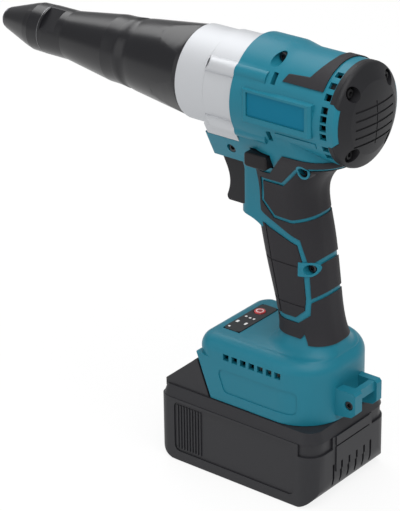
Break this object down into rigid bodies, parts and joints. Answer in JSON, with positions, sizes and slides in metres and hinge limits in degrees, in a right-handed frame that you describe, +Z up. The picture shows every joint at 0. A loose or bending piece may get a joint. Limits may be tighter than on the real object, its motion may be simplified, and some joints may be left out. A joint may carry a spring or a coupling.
{
  "type": "cordless blind riveter",
  "caption": "Pistol-grip cordless blind-rivet gun with a tapered black barrel, bright gear case, rubber-clad grip, sliding battery pack and a working planetary ball-screw drive.",
  "frame": {"origin": "centre of the battery's flat underside, on the tool's mid plane", "axes": "+X towards the nose along the barrel, +Y to the tool's left, +Z up"},
  "size_m": [0.2809, 0.078, 0.2765],
  "materials": {
    "teal_plastic": "fine satin",
    "black_rubber": "matte",
    "black_plastic": "satin",
    "black_metal": "satin black oxide",
    "silver_metal": "satin",
    "dark_steel": "hardened",
    "steel": "machined",
    "red_plastic": "gloss",
    "circuit_board": "lacquered",
    "natural_plastic": "moulded",
    "cell_sleeve": "shrink sleeve",
    "copper": "bare"
  },
  "bodies": {
    "tool": {"left_housing": "teal_plastic", "right_housing": "teal_plastic", "left_grip_rubber": "black_rubber", "right_grip_rubber": "black_rubber", "housing_screws": "steel", "rear_cap": "black_plastic", "rear_cap_screws": "steel", "gear_case": "silver_metal", "gear_case_screws": "steel", "barrel": "black_metal", "nose_cone": "black_metal", "nosepiece": "dark_steel", "trigger_switch": "black_plastic", "trigger_spring": "steel", "control_panel": "black_plastic", "control_board": "circuit_board", "terminal_block": "natural_plastic", "stator": "steel", "stator_windings": "copper", "motor_bracket": "silver_metal", "front_bearing": "steel", "rear_bearing": "steel", "gearbox_plate": "steel", "ring_gear": "steel", "thrust_bearing": "steel"},
    "trigger": {"trigger": "black_plastic"},
    "selector": {"selector": "black_plastic"},
    "power_button": {"power_button": "red_plastic"},
    "rotor": {"motor_shaft": "steel", "rotor_core": "steel", "fan": "black_plastic", "sun_pinion": "steel"},
    "carrier_1": {"carrier_1": "steel"},
    "planet_1a": {"planet_1a": "steel"},
    "planet_1b": {"planet_1b": "steel"},
    "planet_1c": {"planet_1c": "steel"},
    "carrier_2": {"carrier_2": "steel", "ball_screw": "steel"},
    "planet_2a": {"planet_2a": "steel"},
    "planet_2b": {"planet_2b": "steel"},
    "planet_2c": {"planet_2c": "steel"},
    "drawbar": {"ball_nut": "steel", "drawbar": "steel", "jaw_case": "steel", "jaws": "steel", "jaw_pusher": "steel", "jaw_spring": "steel"},
    "battery": {"battery_tub": "black_plastic", "battery_cover": "black_plastic", "battery_cells": "cell_sleeve", "cell_holder_left": "natural_plastic", "cell_holder_right": "natural_plastic", "battery_board": "circuit_board", "battery_contacts": "copper", "release_spring": "steel", "battery_screws": "steel"},
    "release_button": {"release_button": "black_plastic"}
  },
  "joints": [
    {"name": "trigger_pull", "type": "slide", "parent": "tool", "child": "trigger", "axis": [-1, 0, 0], "range_m": [0, 0.006], "stiffness_N_per_m": 400, "springref_m": -0.003, "deforming": ["trigger_spring"]},
    {"name": "selector_shift", "type": "slide", "parent": "tool", "child": "selector", "axis": [0, 1, 0], "range_m": [-0.0025, 0.0025]},
    {"name": "power_press", "type": "slide", "parent": "tool", "child": "power_button", "axis": [0, 0, -1], "range_m": [0, 0.0006], "stiffness_N_per_m": 800, "springref_m": -0.0004},
    {"name": "rotor_spin", "type": "hinge", "parent": "tool", "child": "rotor", "pos_m": [0, 0, 0.2435], "axis": [1, 0, 0], "range_deg": [0, 14400]},
    {"name": "carrier_1_spin", "type": "hinge", "parent": "tool", "child": "carrier_1", "pos_m": [0, 0, 0.2435], "axis": [1, 0, 0], "range_deg": [0, 3600]},
    {"name": "planet_1a_spin", "type": "hinge", "parent": "carrier_1", "child": "planet_1a", "pos_m": [0, 0.0132, 0.2435], "axis": [1, 0, 0], "range_deg": [-10800, 0]},
    {"name": "planet_1b_spin", "type": "hinge", "parent": "carrier_1", "child": "planet_1b", "pos_m": [0, -0.0066, 0.25493], "axis": [1, 0, 0], "range_deg": [-10800, 0]},
    {"name": "planet_1c_spin", "type": "hinge", "parent": "carrier_1", "child": "planet_1c", "pos_m": [0, -0.0066, 0.23207], "axis": [1, 0, 0], "range_deg": [-10800, 0]},
    {"name": "carrier_2_spin", "type": "hinge", "parent": "tool", "child": "carrier_2", "pos_m": [0, 0, 0.2435], "axis": [1, 0, 0], "range_deg": [0, 900]},
    {"name": "planet_2a_spin", "type": "hinge", "parent": "carrier_2", "child": "planet_2a", "pos_m": [0, 0.0132, 0.2435], "axis": [1, 0, 0], "range_deg": [-2700, 0]},
    {"name": "planet_2b_spin", "type": "hinge", "parent": "carrier_2", "child": "planet_2b", "pos_m": [0, -0.0066, 0.25493], "axis": [1, 0, 0], "range_deg": [-2700, 0]},
    {"name": "planet_2c_spin", "type": "hinge", "parent": "carrier_2", "child": "planet_2c", "pos_m": [0, -0.0066, 0.23207], "axis": [1, 0, 0], "range_deg": [-2700, 0]},
    {"name": "draw_stroke", "type": "slide", "parent": "tool", "child": "drawbar", "axis": [-1, 0, 0], "range_m": [0, 0.025]},
    {"name": "battery_slide", "type": "slide", "parent": "tool", "child": "battery", "axis": [1, 0, 0], "range_m": [0, 0.095]},
    {"name": "release_press", "type": "slide", "parent": "battery", "child": "release_button", "axis": [0, 0, -1], "range_m": [0, 0.0035], "stiffness_N_per_m": 500, "springref_m": -0.002, "deforming": ["release_spring"]}
  ],
  "couplings": [
    {"joint": "carrier_1_spin", "follows": "rotor_spin", "ratio": 0.25},
    {"joint": "planet_1a_spin", "follows": "rotor_spin", "ratio": -0.75},
    {"joint": "planet_1b_spin", "follows": "rotor_spin", "ratio": -0.75},
    {"joint": "planet_1c_spin", "follows": "rotor_spin", "ratio": -0.75},
    {"joint": "carrier_2_spin", "follows": "rotor_spin", "ratio": 0.0625},
    {"joint": "planet_2a_spin", "follows": "rotor_spin", "ratio": -0.1875},
    {"joint": "planet_2b_spin", "follows": "rotor_spin", "ratio": -0.1875},
    {"joint": "planet_2c_spin", "follows": "rotor_spin", "ratio": -0.1875},
    {"joint": "draw_stroke", "follows": "rotor_spin", "m_per_rad": 0.00009947}
  ]
}
